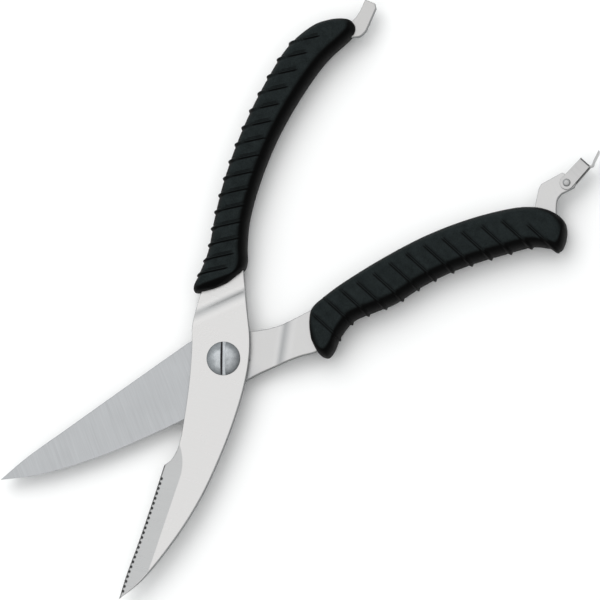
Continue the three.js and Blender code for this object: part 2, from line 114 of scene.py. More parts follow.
LATCH_PLATE_END = LATCH_REACH - BRIDGE_SHEET + 0.05
LATCH_ROUNDING = 0.12
LEVER_BEND_AT = 1.75  # where the end bridge starts to bend into the lever
LEVER_BEND_R = 1.0
LEVER = [(2.15, 13.4), (1.5, 15.6), (0.95, 17.5)]
RIVET_HEAD_R = 1.5
RIVET_HEAD_T = 0.8
RIVET_HEAD_RIM = 0.22

GRIP_CORNER = (4.0, 6.0)  # radii of a grip's rounded sides, across and upwards
GRIP_END_R = 4.0

# Spine, edge and tang of the serrated half. A list is one smooth stretch; the next starts at its end.
SERRATED_OUTLINE = [
    [(-6.4, 151.3), (-6.4, 146.5)],
    [(-6.4, 146.5), (-7.2, 142.6), (-10.5, 138), (-16.8, 131.5), (-22, 122), (-25.3, 106), (-26.5, 86),
     (-25.2, 65), (-22.2, 49), (-19.6, 36), (-19, 27), (-18.8, 18), (-16.6, 7), (-13.6, 0), (-8.9, -13),
     (-4.6, -27.8), (-2.6, -36), (-2.3, -40), (-3.1, -44.4), (-4.9, -47.3)],
    [(-4.9, -47.3), (-3.25, -63.5), (-1.9, -79), (-1, -93), (0.1, -102.2)],
    [(0.1, -102.2), (5.6, -91.9), (11.2, -71.5), (13.8, -54.2), (14.3, -38.7), (13.7, -23.2),
     (11.9, -7.8), (9.4, 3), (6.2, 11.3), (2, 18.8), (-3.1, 27.6), (-7.3, 34.9)],
    [(-7.3, 34.9), (-11.4, 38), (-14.2, 46), (-16.6, 56), (-18.6, 68), (-19.4, 84), (-18.2, 103),
     (-14.4, 120), (-9.5, 131), (-5.8, 135.2), (-2.4, 137.2), (-1.1, 140)],
    [(-1.1, 140), (-1.1, 149.8)],
    [(-1.1, 149.8), (-2.2, 151.3)],
    [(-2.2, 151.3), (-6.4, 151.3)],
]
SERRATED_EDGE = SERRATED_OUTLINE[2]

# The same for the plain half, whose tang ends in the latch arm.
PLAIN_OUTLINE = [
    [(0.1, 150.6), (0.1, 141.4)],
    [(0.1, 141.4), (1, 139.9), (4.6, 136.7), (7.2, 134.2), (8.1, 131.5), (6.6, 127), (3.1, 116),
     (0.6, 103.5), (-0.8, 91.5), (-1.2, 80), (-0.9, 68), (0, 56), (1.4, 46), (-0.3, 39.9)],
    [(-0.3, 39.9), (-0.6, 31.3), (-1.6, 23.5), (-4.7, 14.3), (-10, 6), (-12.6, -2), (-12.7, -9.8)],
    [(-12.7, -9.8), (-9.6, -37.6), (-6.4, -65.3), (-3.8, -87.2), (-1.2, -99.6)],
    [(-1.2, -99.6), (4.4, -85.2), (9.7, -60.9), (12.2, -36.1), (13, -20), (12.2, -5), (11.3, 4),
     (11.9, 15.4), (13.5, 27), (14.9, 33), (14, 39), (10.4, 45), (8.4, 52), (8.9, 61), (9.5, 70),
     (9.1, 81), (9.3, 91.5), (10.8, 102.5), (13.3, 114.5), (16.4, 127), (17, 134), (15.4, 139.4),
     (11.4, 141.8), (8.4, 144), (7.3, 146.4)],
    [(7.3, 146.4), (7.5, 151.9)],
    [(7.5, 151.9), (6.2, 153.4)],
    [(6.2, 153.4), (1.2, 151.4)],
    [(1.2, 151.4), (0.1, 150.6)],
]

PLAIN_EDGE = PLAIN_OUTLINE[4][:5]

# A joggle's crease: the foot of its low bend, and the direction from the blade to the tang.
SERRATED_CREASE = {"at": (-12.6, 21.9), "towards": (-0.74, 0.672), "tang_is_low": True}
PLAIN_CREASE = {"at": (3.6, 20.6), "towards": (0.608, 0.794), "tang_is_low": False}

# Chords across each grip from its front to its end: left point, then right point.
SERRATED_GRIP = [
    ((-15.6, 23), (-13.4, 25.1)), ((-18.6, 20.8), (-10.8, 28)), ((-21.3, 19.5), (-8.9, 31.5)),
    ((-22.5, 21.3), (-7, 35.8)), ((-22.5, 25.5), (-7.4, 38.8)), ((-22.9, 36), (-9.6, 43.5)),
    ((-25.8, 48.7), (-12.9, 53)), ((-28.6, 65), (-15.3, 67.5)), ((-30, 86), (-16.1, 86.5)),
    ((-29.2, 106), (-14.3, 106)), ((-26.4, 123.5), (-10.7, 123)), ((-20.8, 134.2), (-5.7, 134.6)),
    ((-16.7, 138), (-4.8, 137.6)), ((-12.9, 140.4), (-5.6, 140)), ((-10.2, 141.3), (-7.8, 141.4)),
]
PLAIN_GRIP = [
    ((9, 33.9), (11.6, 33.5)), ((5.4, 35.2), (15.2, 33.4)), ((2.2, 37), (17.9, 34.2)),
    ((-0.4, 39.2), (19.4, 36)), ((-1.5, 41.6), (18.2, 39.2)), ((-2.3, 45.6), (14.6, 43.8)),
    ((-3.3, 52), (11.5, 51.5)), ((-4, 61), (12.3, 60.5)), ((-4.4, 69.5), (13.3, 69)),
    ((-4.5, 82), (12.5, 81.5)), ((-4.1, 91.5), (12.8, 91.5)), ((-2.7, 103.5), (14.3, 102.5)),
    ((-0.2, 116), (16.9, 114.5)), ((3.4, 128), (20.2, 127)), ((5.6, 132.7), (23.6, 131.9)),
    ((8.2, 136.6), (26.8, 135.2)), ((11.6, 139.8), (25, 138.3)), ((15, 141.7), (21.5, 141.1)),
    ((17.2, 142.2), (18.8, 142.1)),
]

# Finger ribs: the first one's height up the grip, how the spacing grows, and how each one runs.
SERRATED_RIBS = {"count": 15, "first": 26.2, "pitch": 6.02, "growth": 0.068, "side": 0, "angle": 35.5,
                 "length": 12.6}
PLAIN_RIBS = {"count": 13, "first": 43.4, "pitch": 7.0, "growth": 0.045, "side": 1, "angle": 199,
              "length": 15.0}

# A rib is a low ridge with a groove at either foot; its outer end swells into a knob.
RIB_KNOB = 2.6  # length of the knob
RIB_FADE = 1.5  # the inner end dies away over this length
RIB_WIDTH = 0.5  # half width of the ridge
RIB_KNOB_WIDTH = 0.35  # what the knob adds to it
RIB_HEIGHT = 0.27
RIB_KNOB_HEIGHT = 0.48
RIB_GROOVE = 0.16  # depth of the grooves

# The grind of the serrated edge: a flat bevel that runs out on a round shoulder at the bone notch.
BEVEL_WIDTH = 7.7
BEVEL_FOOT = 0.5  # the bevel's height over the inner face at its foot
BEVEL_START = (-16.3, -51.4)
SHOULDER_R = 12.0
EDGE_TILT = math.atan2(5, 54.9)
EDGE_LAND = 0.12  # height left at a cutting edge
HONE_SLOPE = 1.25  # rise of the honed strip right behind a cutting edge
EDGE_SHADE = 0.42  # width of the painted shade line along the serrated edge
GULLETS = {"count": 24, "first": 5.3, "pitch": 2.02, "r": 0.56, "inset": 0.62, "floor": 0.16, "rise": 0.62}
SERRATED_GRIND_PAST = -20.0  # no grind of the serrated blade comes closer to the pivot

# The plain edge is one long arc, ground on the blade's rear face.
PLAIN_EDGE_R = 220.0
PLAIN_EDGE_CENTRE = (-206.4, -43.5)
PLAIN_BEVEL = 6.5
RUN_OUT_FROM = -24.0  # the grind starts to leave the blade here
RUN_OUT_R = 10.0
PLAIN_GRIND_PAST = -10.0  # no grind of the plain blade comes closer to the pivot
PLAIN_HONE_PAST = -17.0

# ---------------------------------------------------------------- places taken from the frame


def corner(node, which):
    """Lowest (0) or highest (1) corner of a CAD node in millimetres."""
    return np.array(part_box(node)[which]) / MM


def joint_place(name):
    joints = frame["record"]["behaviour"]["joints"]
    place = next(joint["pos_m"] for joint in joints if joint["name"] == name)
    return np.array(place) / MM


REAR_Z = corner("plain_blade", 0)[2]
FRONT_TOP = corner("serrated_blade", 1)[2]
FRONT_Z = FRONT_TOP - SHEET
MID_Z = (REAR_Z + FRONT_TOP) / 2
TANG_Z = MID_Z - SHEET / 2
NUT_R = corner("pivot_nut", 1)[0]
SCREW_HEAD_R = corner("pivot_screw", 1)[0]
SCREW_TOP = corner("pivot_screw", 1)[2]
SCREW_HEAD_Z = SCREW_TOP - SCREW_DOME - SCREW_RIM
GRIP_T = corner("serrated_grip", 1)[2] - corner("serrated_grip", 0)[2] - 1.0
RIVET_PLACE = joint_place("latch_hinge")
HALF_TURN = math.atan2(RIVET_AT[1], RIVET_AT[0]) - math.atan2(RIVET_PLACE[1], RIVET_PLACE[0])

# ---------------------------------------------------------------- curves and outlines


def unit(vectors):
    return vectors / np.maximum(np.linalg.norm(vectors, axis=-1, keepdims=True), 1e-9)


def left_of(vectors):
    """Each plane vector turned a quarter to the left."""
    return np.stack([-vectors[:, 1], vectors[:, 0]], axis=1)


def directions(angle):
    """The unit vector at an angle, and the one to its left."""
    ahead = np.array([math.cos(angle), math.sin(angle)])
    return ahead, np.array([-ahead[1], ahead[0]])


def turned(points, angle):
    """Points in the plane or in space, turned about the pivot axis."""
    c, s = math.cos(angle), math.sin(angle)
    x = points[:, 0] * c - points[:, 1] * s
    y = points[:, 0] * s + points[:, 1] * c
    return np.column_stack([x, y, *points.T[2:]])


def constant(value):
    """A function that gives the same value at every point."""
    return lambda points: np.full(len(points), value)


def spline(points, t):
    """Centripetal Catmull-Rom curve through the points; t goes from 0 to 1, evenly from point to point."""
    p = np.asarray(points, float)
    p = np.vstack([2 * p[0] - p[1], p, 2 * p[-1] - p[-2]])
    place = np.atleast_1d(t) * (len(points) - 1)
    i = np.minimum(place.astype(int), len(points) - 2)
    w = (place - i)[:, None]
    p0, p1, p2, p3 = (p[i + k] for k in range(4))
    spans = ((p0, p1), (p1, p2), (p2, p3))
    d0, d1, d2 = (np.sqrt(np.linalg.norm(b - a, axis=1))[:, None] for a, b in spans)
    m1 = ((p1 - p0) / d0 - (p2 - p0) / (d0 + d1) + (p2 - p1) / d1) * d1
    m2 = ((p2 - p1) / d1 - (p3 - p1) / (d1 + d2) + (p3 - p2) / d2) * d1
    return p1 + m1 * w + (3 * (p2 - p1) - 2 * m1 - m2) * w**2 + (2 * (p1 - p2) + m1 + m2) * w**3


def lengths_along(points):
    steps = np.linalg.norm(np.diff(points, axis=0), axis=1)
    return np.concatenate([[0], np.cumsum(steps)])


def even(points, step):
    """The smooth curve through the points, sampled evenly by length."""
    fine = spline(points, np.linspace(0, 1, 40 * len(points)))
    along = lengths_along(fine)
    count = max(1, round(along[-1] / step))
    wanted = np.linspace(0, along[-1], count + 1)
    return np.stack([np.interp(wanted, along, fine[:, k]) for k in range(fine.shape[1])], axis=1)


def outline(stretches, step, edge=None, edge_step=0.22):
    """Closed outline made of smooth stretches, with its cutting edge sampled more finely."""
    return np.vstack([even(points, edge_step if points is edge else step)[:-1] for points in stretches])


def circle(r, at=(0, 0), count=72, start=0.0, sweep=2 * math.pi):
    angles = start + sweep * np.arange(count) / count
    return np.stack([at[0] + r * np.cos(angles), at[1] + r * np.sin(angles)], axis=1)


def grid(xs, ys):
    return np.array([(x, y) for x in xs for y in ys])


def area(ring):
    x, y = ring[:, 0], ring[:, 1]
    return 0.5 * np.sum(x * np.roll(y, -1) - y * np.roll(x, -1))


def inside(points, ring):
    """Which points lie inside the closed ring."""
    x, y = points[:, :1], points[:, 1:2]
    x0, y0 = ring[:, 0], ring[:, 1]
    x1, y1 = np.roll(x0, -1), np.roll(y0, -1)
    crosses = (y0 > y) != (y1 > y)
    rise = np.where(np.abs(y1 - y0) < 1e-12, 1e-12, y1 - y0)
    return np.sum(crosses & (x < x0 + (y - y0) * (x1 - x0) / rise), axis=1) % 2 == 1


def distance_to(points, line):
    """Distance from each point to a finely sampled line."""
    out = np.empty(len(points))
    for i in range(0, len(points), 2000):
        block = points[i:i + 2000]
        out[i:i + 2000] = np.sqrt(((block[:, None] - line[None]) ** 2).sum(2).min(1))
    return out


def inset(ring, distances):
    """The closed ring moved to its left by a distance for each point."""
    left_back = left_of(unit(ring - np.roll(ring, 1, axis=0)))
    left_ahead = left_of(unit(np.roll(ring, -1, axis=0) - ring))
    middle = unit(left_back + left_ahead)
    reach = np.minimum(1.6, 1 / np.maximum(0.2, np.sum(middle * left_back, axis=1)))
    return ring + middle * (distances * reach)[:, None]


# ---------------------------------------------------------------- meshes

ROUNDING_ANGLES = np.radians(np.arange(0, 91, 15))
WELD = 0.002  # points closer than this become one
CLEAR = 0.04  # extra points keep this far from a ring
INSIDE_RINGS = 1  # the triangulation's code for leaving out triangles outside the rings
SUPPORT = 0.05  # flat strip past a rounding, which keeps its shading off the flats


def new_object(name, data):
    thing = bpy.data.objects.new(name, data)
    bpy.context.scene.collection.objects.link(thing)
    return thing


class Shape:
    """Collects points and faces in millimetres, and turns them into one Blender object."""

    def __init__(self):
        self.points = []
        self.faces = []
        self.count = 0

    def add(self, points, faces):
        self.points.append(np.asarray(points, float))
        self.faces += [tuple(int(i) + self.count for i in face) for face in faces]
        self.count += len(points)

    def join(self, other):
        self.add(np.vstack(other.points), other.faces)

    def strip(self, rings):
        """Quads between successive rings of the same length."""
        n = len(rings[0])
        faces = [
            (row * n + i, row * n + (i + 1) % n, (row + 1) * n + (i + 1) % n, (row + 1) * n + i)
            for row in range(len(rings) - 1)
            for i in range(n)
        ]
        self.add(np.vstack(rings), faces)

    def fan(self, ring):
        middle = np.mean(ring, axis=0)
        n = len(ring)
        self.add(np.vstack([ring, middle]), [(i, (i + 1) % n, n) for i in range(n)])

    def tube(self, rings):
        """A skin over successive rings, closed by a fan at either end."""
        self.strip(rings)
        self.fan(rings[0])
        self.fan(rings[-1])
        return self

    def build(self, name, turn=0.0, at=(0, 0, 0), sharp=35.0, dark=None):
        """The mesh object, turned about the pivot; folds over `sharp` degrees stay crisp.

        `dark` tells from the untouched points how strongly painted shade darkens each one.
        """
        placed = (turned(np.vstack(self.points), turn) + np.array(at)) * MM
        mesh = bpy.data.meshes.new(name)
        mesh.from_pydata(placed.tolist(), [], self.faces)
        bm = bmesh.new()
        bm.from_mesh(mesh)
        bmesh.ops.remove_doubles(bm, verts=bm.verts, dist=WELD * MM)
        bmesh.ops.dissolve_degenerate(bm, dist=WELD / 2 * MM, edges=bm.edges)
        bmesh.ops.recalc_face_normals(bm, faces=bm.faces)
        for face in bm.faces:
            face.smooth = True
        limit = math.radians(sharp)
        for edge in bm.edges:
            edge.smooth = edge.calc_face_angle(0) < limit
        bm.to_mesh(mesh)
        bm.free()
        if dark:
            found = np.array([tuple(vertex.co) for vertex in mesh.vertices]) / MM - np.array(at)
            marks = dark(turned(found, -turn))
            layer = mesh.attributes.new("dark", "FLOAT", "POINT")
            layer.data.foreach_set("value", marks.astype(np.float32))
        return new_object(name, mesh)


def fill(rings, extra, height):
    """Triangles that fill the rings, through extra points, lifted to a height function."""
    extra = extra[inside(extra, rings[0])]
    for hole in rings[1:]:
        extra = extra[~inside(extra, hole)]
    extra = extra[distance_to(extra, np.vstack(rings)) > CLEAR] if len(extra) else extra
    flat = np.vstack([*rings, extra])
    edges = []
    start = 0
    for ring in rings:
        n = len(ring)
        edges += [(start + i, start + (i + 1) % n) for i in range(n)]
        start += n
    made = geometry.delaunay_2d_cdt([Vector(p) for p in flat], edges, [], INSIDE_RINGS, 1e-6)
    points = np.array([tuple(p) for p in made[0]])
    faces = np.array([tuple(face) for face in made[2]])
    middles = points[faces].mean(axis=1)
    keep = inside(middles, rings[0])
    for hole in rings[1:]:
        keep &= ~inside(middles, hole)
    return np.column_stack([points, height(points)]), faces[keep]


def plate(rim, holes, top, bottom, rounding, top_points=None, bottom_points=None):
    """Solid between two height functions, whose outer and hole edges are rounded."""
    none = np.zeros((0, 2))
    rim = rim if area(rim) > 0 else rim[::-1]
    rings = [rim] + [hole if area(hole) < 0 else hole[::-1] for hole in holes]
    thick = [top(ring) - bottom(ring) for ring in rings]
    radii = [np.minimum(rounding(ring), 0.3 * t) for ring, t in zip(rings, thick)]
    shape = Shape()
    walls = []
    for side, height, points in ((1, top, top_points), (-1, bottom, bottom_points)):
        last = []
        for ring, r in zip(rings, radii):
            rows = []
            for angle in ROUNDING_ANGLES:
                flat = inset(ring, r * (1 - math.cos(angle)))
                drop = r * (1 - math.sin(angle))
                rows.append(np.column_stack([flat, height(flat) - side * drop]))
            flat = inset(ring, r + np.minimum(SUPPORT, r))
            rows.append(np.column_stack([flat, height(flat)]))
            shape.strip(rows)
            walls.append(rows[0])
            last.append(flat)
        shape.add(*fill(last, none if points is None else points, height))
    for upper, lower in zip(walls[:len(rings)], walls[len(rings):]):
        shape.strip([upper, lower])
    return shape


def lathe(profile, count=96):
    """Solid of revolution about the pivot axis from (radius, height) points."""
    rows = [np.column_stack([circle(max(r, 1e-4), count=count), np.full(count, z)]) for r, z in profile]
    return Shape().tube(rows)


def rounded(profile, r, steps=5):
    """The (radius, height) profile with each inner corner replaced by a short arc."""
    p = np.asarray(profile, float)
    out = [p[0]]
    for before, here, after in zip(p[:-2], p[1:-1], p[2:]):
        into, away = unit(here - before), unit(after - here)
        reach = min(r, 0.45 * np.linalg.norm(here - before), 0.45 * np.linalg.norm(after - here))
        for t in np.linspace(0, 1, steps):
            start, end = here - into * reach, here + away * reach
            out.append((1 - t) ** 2 * start + 2 * t * (1 - t) * here + t**2 * end)
    return [*out, p[-1]]


def piece(shape, body, node, slot, material, **place):
    """Builds a shape, gives it its material, and puts it on its body in place of a CAD node."""
    thing = shape.build(f"{node}_fine", **place)
    thing.data.materials.append(material)
    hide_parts(node)
    if body:
        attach(thing, body)
    return thing


# ---------------------------------------------------------------- blades


def joggle_size():
    """Angle that each of the two bends turns, and the length that both take up."""
    middle = JOGGLE_INNER_R + SHEET / 2
    bend = math.acos(1 - JOGGLE_DROP / (2 * middle))
    return bend, 2 * middle * math.sin(bend)


def joggle_heights(points, crease, blade_z):
    """Heights of the upper and lower face of a sheet with a double bend."""
    towards = unit(np.array(crease["towards"]))
    along = (points - np.array(crease["at"])) @ towards
    outer = JOGGLE_INNER_R + SHEET
    bend, run = joggle_size()
    low = blade_z
    if crease["tang_is_low"]:
        low = TANG_Z
    else:
        along = -along
    high = low + JOGGLE_DROP
    high_bend = (-run, high - JOGGLE_INNER_R)
    low_bend = (0, low + SHEET + JOGGLE_INNER_R)

    def face(flat_high, flat_low, r_high, r_low):
        split = -run + r_high * math.sin(bend)
        near_high = np.clip(along - high_bend[0], 0, r_high)
        near_low = np.clip(-along, 0, r_low)
        over_high = high_bend[1] + np.sqrt(r_high**2 - near_high**2)
        under_low = low_bend[1] - np.sqrt(r_low**2 - near_low**2)
        bent = np.where(along < split, over_high, under_low)
        return np.where(along < -run, flat_high, np.where(along > 0, flat_low, bent))

    upper = face(high + SHEET, low + SHEET, outer, JOGGLE_INNER_R)
    lower = face(high, low, JOGGLE_INNER_R, outer)
    return upper, lower


def joggle_points(crease, margin=0.6, half_width=26):
    """Rows of points along a joggle's bends and a little past them."""
    towards = unit(np.array(crease["towards"]))
    across = np.array([-towards[1], towards[0]])
    sense = 1 if crease["tang_is_low"] else -1
    run = joggle_size()[1]
    rows = np.linspace(-run - margin, margin, 50)
    places = np.arange(-half_width, half_width, 1.1)
    grid = [np.array(crease["at"]) + sense * s * towards + t * across for s in rows for t in places]
    return np.array(grid)


def edge_points(edge, reach, step):
    """Rows of points on the left of a line, from the line inwards."""
    line = even(edge, step)
    left = left_of(unit(np.gradient(line, axis=0)))
    return np.vstack([line + left * d for d in np.arange(step, reach, step)])


def leg_of(angle, sense, turn):
    """Where a spring leg leaves the coil, and its heading, in a half's own closed pose."""
    local = angle + turn
    start = COIL_R * np.array([math.cos(local), math.sin(local)])
    return start, local + sense * math.pi / 2


def in_pocket(points, leg):
    """Which points lie in the round pocket of the coil or in the slot of its leg."""
    start, heading = leg
    ahead, side = directions(heading)
    along = (points - start) @ ahead
    across = (points - start) @ side
    in_slot = (along > 0) & (along < SPRING_LEG + LEG_ROOM) & (np.abs(across) < LEG_SLOT / 2)
    return in_slot | (np.linalg.norm(points, axis=1) < POCKET_R)


def pocket_points(leg):
    """Close pairs of points along the pocket's wall, one inside and one outside."""
    start, heading = leg
    ahead, side = directions(heading)
    end = start + ahead * (SPRING_LEG + LEG_ROOM)
    steps = np.arange(0.2, SPRING_LEG + LEG_ROOM - 0.1, 0.4)
    gap = 0.01
    out = [circle(POCKET_R - gap, count=120), circle(POCKET_R + gap, count=120)]
    for shift in (-gap, gap):
        half = LEG_SLOT / 2 + shift
        for sign in (-1, 1):
            out.append(np.array([start + ahead * s + side * sign * half for s in steps]))
        out.append(np.array([end + ahead * shift + side * w for w in np.linspace(-0.8, 0.8, 6)]))
    return np.vstack(out)


def hone(points, edge_line):
    """Height over the flat face that the honed strip behind a cutting edge leaves."""
    return EDGE_LAND + HONE_SLOPE * distance_to(points, edge_line)


def serrated_bevel(points):
    """Height of the serrated edge's bevel over the inner face."""
    x, y = turned(points - np.array(BEVEL_START), -EDGE_TILT).T
    out = np.where(y < 0, x, np.hypot(x, y)) - SHOULDER_R
    return BEVEL_FOOT + (SHEET - BEVEL_FOOT) / BEVEL_WIDTH * out


def serrated_bevel_points():
    """Points along the bevel's upper border and over its round shoulder."""
    turns = np.radians(np.arange(0, 120, 1.5)) + EDGE_TILT
    shoulder = [
        np.array(BEVEL_START) + r * np.stack([np.cos(turns), np.sin(turns)], axis=1)
        for r in np.linspace(SHOULDER_R, SHOULDER_R + BEVEL_WIDTH, 11)
    ]
    down = np.arange(0, -62, -0.5)
    border = np.column_stack([np.full(len(down), SHOULDER_R + BEVEL_WIDTH), down])
    return np.vstack([*shoulder, np.array(BEVEL_START) + turned(border, EDGE_TILT)])


def gullet_places():
    """Middles of the small gullets behind the serrated edge."""
    fine = even(SERRATED_EDGE, 0.05)
    left = left_of(unit(np.gradient(fine, axis=0)))
    places = GULLETS["first"] + GULLETS["pitch"] * np.arange(GULLETS["count"])
    index = np.searchsorted(lengths_along(fine), places)
    return fine[index] + GULLETS["inset"] * left[index]


def gullet_depths(points):
    """Height over the inner face that the gullets leave, far above the blade away from them."""
    near = distance_to(points, gullet_places())
    return GULLETS["floor"] + GULLETS["rise"] * (near / GULLETS["r"]) ** 3


def tip_rounding(tip, edge_line, full=0.3, at_edge=0.03, at_tip=0.02, growth=0.05):
    """Edge radius that dies away towards the blade's tip and on its cutting edge."""
    def rounding(points):
        from_tip = np.linalg.norm(points - np.array(tip), axis=1)
        on_edge = distance_to(points, edge_line) < 0.02
        return np.where(on_edge, at_edge, np.clip(growth * from_tip, at_tip, full))

    return rounding


def serrated_blade_shape():
    leg = leg_of(COIL_START, -1, -HALF_TURN)
    edge_line = even(SERRATED_EDGE, 0.05)

    def top(points):
        upper = joggle_heights(points, SERRATED_CREASE, FRONT_Z)[0]
        on_blade = points[:, 1] < SERRATED_GRIND_PAST
        low = points[on_blade]
        ground = np.minimum(serrated_bevel(low), hone(low, edge_line))
        ground = np.minimum(ground, np.maximum(gullet_depths(low), EDGE_LAND))
        upper[on_blade] = np.minimum(upper[on_blade], FRONT_Z + np.maximum(ground, EDGE_LAND))
        return upper

    def bottom(points):
        lower = joggle_heights(points, SERRATED_CREASE, FRONT_Z)[1]
        return lower + POCKET_DEPTH * in_pocket(points, leg)

    fine = edge_points(SERRATED_EDGE, 1.9, 0.11)
    top_points = np.vstack([joggle_points(SERRATED_CREASE), serrated_bevel_points(), fine])
    bottom_points = np.vstack([joggle_points(SERRATED_CREASE), pocket_points(leg)])
    rounding = tip_rounding(SERRATED_EDGE[-1], edge_line)
    rim = outline(SERRATED_OUTLINE, 0.8, SERRATED_EDGE)
    return plate(rim, [circle(BARREL_HOLE_R)], top, bottom, rounding, top_points, bottom_points)


def serrated_edge_painted_shade(points):
    """Painted shade, darkest in the gullets and on the strip right behind the serrated edge, standing for
    their shadowed walls.
    """
    flat = points[:, :2]
    gullets = np.clip(1.5 - distance_to(flat, gullet_places()) / GULLETS["r"], 0, 0.9)
    strip = np.clip(1.6 - distance_to(flat, even(SERRATED_EDGE, 0.1)) / EDGE_SHADE, 0, 0.7)
    return np.maximum(gullets, strip) * (points[:, 2] > FRONT_Z + EDGE_LAND / 2)


def plain_bevel(points):
    """Depth of the rear face's grind: none inside its border, deepest at the plain edge."""
    out = np.linalg.norm(points - np.array(PLAIN_EDGE_CENTRE), axis=1) - (PLAIN_EDGE_R - PLAIN_BEVEL)
    past = np.maximum(0, points[:, 1] - RUN_OUT_FROM)
    return np.maximum(0, out - past**2 / (2 * RUN_OUT_R)) * (SHEET - BEVEL_FOOT) / PLAIN_BEVEL


def plain_bevel_points():
    """Points along the rear grind's border and over its run-out."""
    turns = np.radians(np.arange(-16, 5.2, 0.2))
    middle = np.array(PLAIN_EDGE_CENTRE)
    ahead = np.stack([np.cos(turns), np.sin(turns)], axis=1)
    border = middle + (PLAIN_EDGE_R - PLAIN_BEVEL) * ahead
    run_out = grid(np.arange(5, 13.5, 0.4), np.arange(RUN_OUT_FROM, PLAIN_GRIND_PAST, 0.4))
    return np.vstack([border, run_out])


def plain_edge_line():
    """The plain cutting edge, from the tip to where the grind runs out."""
    line = even(PLAIN_EDGE, 0.05)
    return line[line[:, 1] < PLAIN_HONE_PAST]


def plain_blade_shape():
    leg = leg_of(COIL_START + coil_sweep(), 1, HALF_TURN)
    edge_line = plain_edge_line()
    rivet_hole = circle(RIVET_SHANK_R + 0.05, RIVET_AT, 40)

    def top(points):
        upper = joggle_heights(points, PLAIN_CREASE, REAR_Z)[0]
        return upper - POCKET_DEPTH * in_pocket(points, leg)

    def bottom(points):
        upper, lower = joggle_heights(points, PLAIN_CREASE, REAR_Z)
        on_blade = points[:, 1] < PLAIN_GRIND_PAST
        low = points[on_blade]
        ground = np.maximum(lower[on_blade] + plain_bevel(low), upper[on_blade] - hone(low, edge_line))
        lower[on_blade] = np.minimum(ground, upper[on_blade] - EDGE_LAND)
        return lower

    top_points = np.vstack([joggle_points(PLAIN_CREASE), pocket_points(leg)])
    fine = edge_points(PLAIN_EDGE, 0.8, 0.16)
    bottom_points = np.vstack([joggle_points(PLAIN_CREASE), plain_bevel_points(), fine])
    rounding = tip_rounding(PLAIN_EDGE[0], edge_line)
    holes = [circle(BARREL_HOLE_R), rivet_hole]
    return plate(outline(PLAIN_OUTLINE, 0.6), holes, top, bottom, rounding, top_points, bottom_points)


# ---------------------------------------------------------------- pivot


def coil_sweep():
    """How far the coil turns from its front leg down to its rear leg."""
    rise = FRONT_Z - REAR_Z - SHEET + 2 * POCKET_DEPTH - WIRE - 0.2
    return rise / COIL_PITCH * 2 * math.pi


def screw_shape():
    """Domed head with a milled slot, and its shank."""
    dome_r = (SCREW_HEAD_R**2 + SCREW_DOME**2) / (2 * SCREW_DOME)
    slot_floor = SCREW_TOP - SLOT_DEPTH
    along_slot, across_slot = directions(SLOT_ANGLE)
    lip = 0.12

    def top(points):
        r2 = np.minimum((points**2).sum(axis=1), SCREW_HEAD_R**2)
        dome = SCREW_TOP - dome_r + np.sqrt(dome_r**2 - r2)
        off = np.abs(points @ across_slot) - SLOT_WIDTH / 2
        eased = dome - np.clip(lip - off, 0, lip) ** 2 / (2 * lip)
        return np.where(off < -0.01, np.minimum(slot_floor, dome), np.minimum(dome, eased))

    rings = [circle(r, count=96) for r in np.linspace(0.5, SCREW_HEAD_R - 0.4, 22)]
    reach = np.arange(-SCREW_HEAD_R, SCREW_HEAD_R, 0.15)
    half = SLOT_WIDTH / 2
    offsets = [half - 0.02, half, half + 0.04, half + 0.08, half + 0.14]
    offsets += [-value for value in offsets]
    floor_rows = np.linspace(-half + 0.2, half - 0.2, 9)
    lines = [along_slot * s + across_slot * off for off in [*offsets, *floor_rows] for s in reach]
    rim = circle(SCREW_HEAD_R, count=144)
    top_points = np.vstack([*rings, np.array(lines)])
    shape = plate(rim, [], top, constant(SCREW_HEAD_Z), constant(0.25), top_points)
    tip = corner("pivot_screw", 0)[2]
    shank_top = SCREW_HEAD_Z + 0.1
    shank = [(0, tip), (SCREW_SHANK_R, tip), (SCREW_SHANK_R, shank_top), (0, shank_top)]
    shape.join(lathe(rounded(shank, 0.4), 64))
    return shape


def slot_painted_shadow(points):
    """Painted shadow, darkest along the side of the screw's slot that its wall shades."""
    across_slot = directions(SLOT_ANGLE)[1]
    off = points[:, :2] @ across_slot
    in_slot = (np.abs(off) < SLOT_WIDTH / 2) & (points[:, 2] > SCREW_HEAD_Z + 0.05)
    return np.clip((off + SLOT_SHADE) / 0.15, 0, 1) * in_slot


def nut_shape():
    """Round flange with a turned edge, and the barrel that the blades turn on."""
    top = corner("pivot_nut", 1)[2]
    under = REAR_Z - 0.05
    profile = [
        (0, 0), (NUT_R - 0.35, 0), (NUT_R, 0.35), (NUT_R, under), (BARREL_R, under),
        (BARREL_R, top), (NUT_BORE_R, top), (NUT_BORE_R, under), (0, under),
    ]
    return lathe(rounded(profile, 0.16), 128)


def spring_shape():
    """Round wire: a straight leg, the coil, and the other leg."""
    sweep = coil_sweep()
    total = COIL_R * sweep + 2 * SPRING_LEG
    top = MID_Z + sweep / (2 * math.pi) * COIL_PITCH / 2
    rows = []
    for along in np.linspace(-SPRING_LEG, total - SPRING_LEG, 161):
        turn = min(max(along / COIL_R, 0), sweep)
        straight = along - turn * COIL_R
        angle = COIL_START + turn
        out = np.array([math.cos(angle), math.sin(angle), 0])
        ahead = np.array([-math.sin(angle), math.cos(angle), 0])
        middle = COIL_R * out + straight * ahead + UP * (top - turn / (2 * math.pi) * COIL_PITCH)
        ring = circle(WIRE / 2, count=16)
        rows.append(middle + ring[:, :1] * out + ring[:, 1:] * UP)
    return Shape().tube(rows)


# ---------------------------------------------------------------- grips


